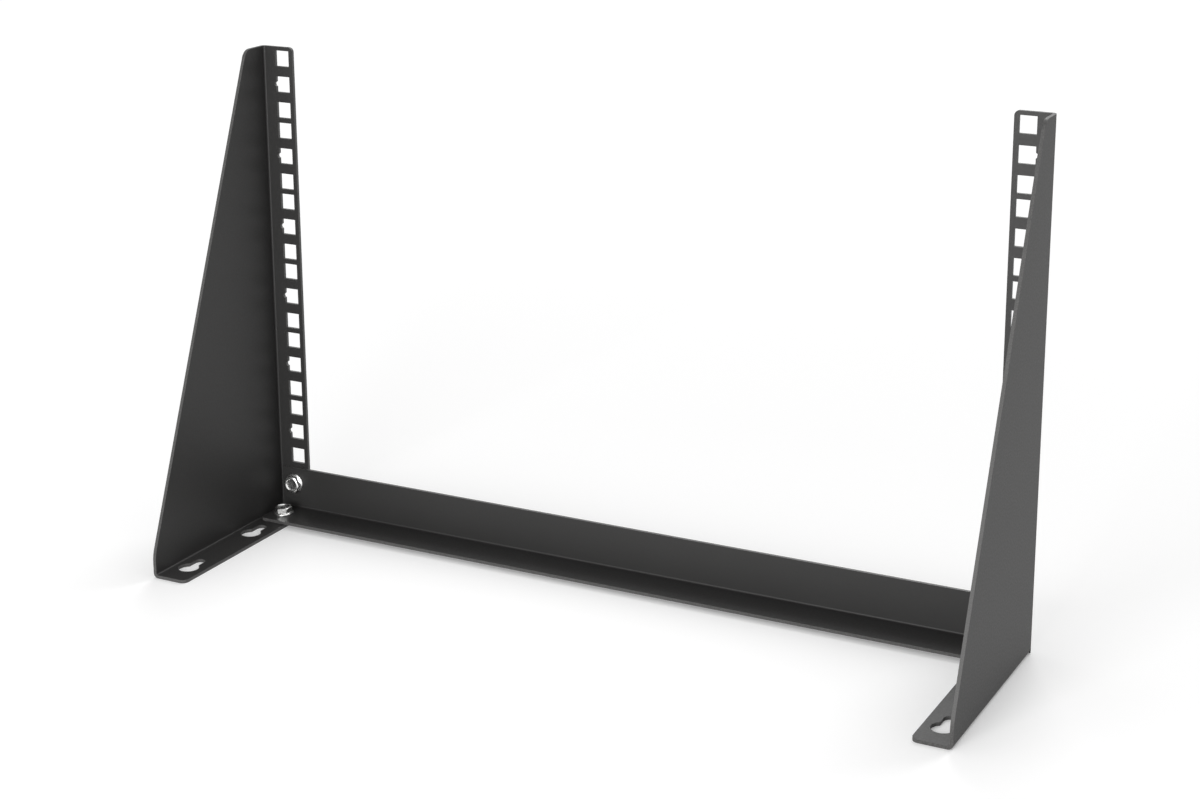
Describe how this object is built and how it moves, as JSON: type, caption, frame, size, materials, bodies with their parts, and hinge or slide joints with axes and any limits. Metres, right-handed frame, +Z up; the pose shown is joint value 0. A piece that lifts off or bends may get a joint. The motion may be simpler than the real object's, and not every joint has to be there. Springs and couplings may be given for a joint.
{
  "type": "wall mount rack",
  "caption": "Open wall mount rack frame for 19-inch equipment: mirrored folded sheet steel side brackets with square rack holes and keyhole feet, tied by an angle bar with flange bolts",
  "frame": {"origin": "on the mounting surface, at the middle of the overall box and on the mirror plane of the two brackets", "axes": "+X across the rack from the left to the right bracket, +Y from the front of the feet to the outer face of the rails, +Z up from the feet along the rails"},
  "size_m": [0.495, 0.132, 0.299],
  "materials": {
    "powder_coat": "satin black powder coat",
    "zinc_plate": "bright zinc plate"
  },
  "bodies": {
    "root": {"left_bracket": "powder_coat", "right_bracket": "powder_coat", "cross_bar": "powder_coat", "left_rail_bolt": "zinc_plate", "right_rail_bolt": "zinc_plate", "left_foot_bolt": "zinc_plate", "right_foot_bolt": "zinc_plate"}
  },
  "joints": []
}
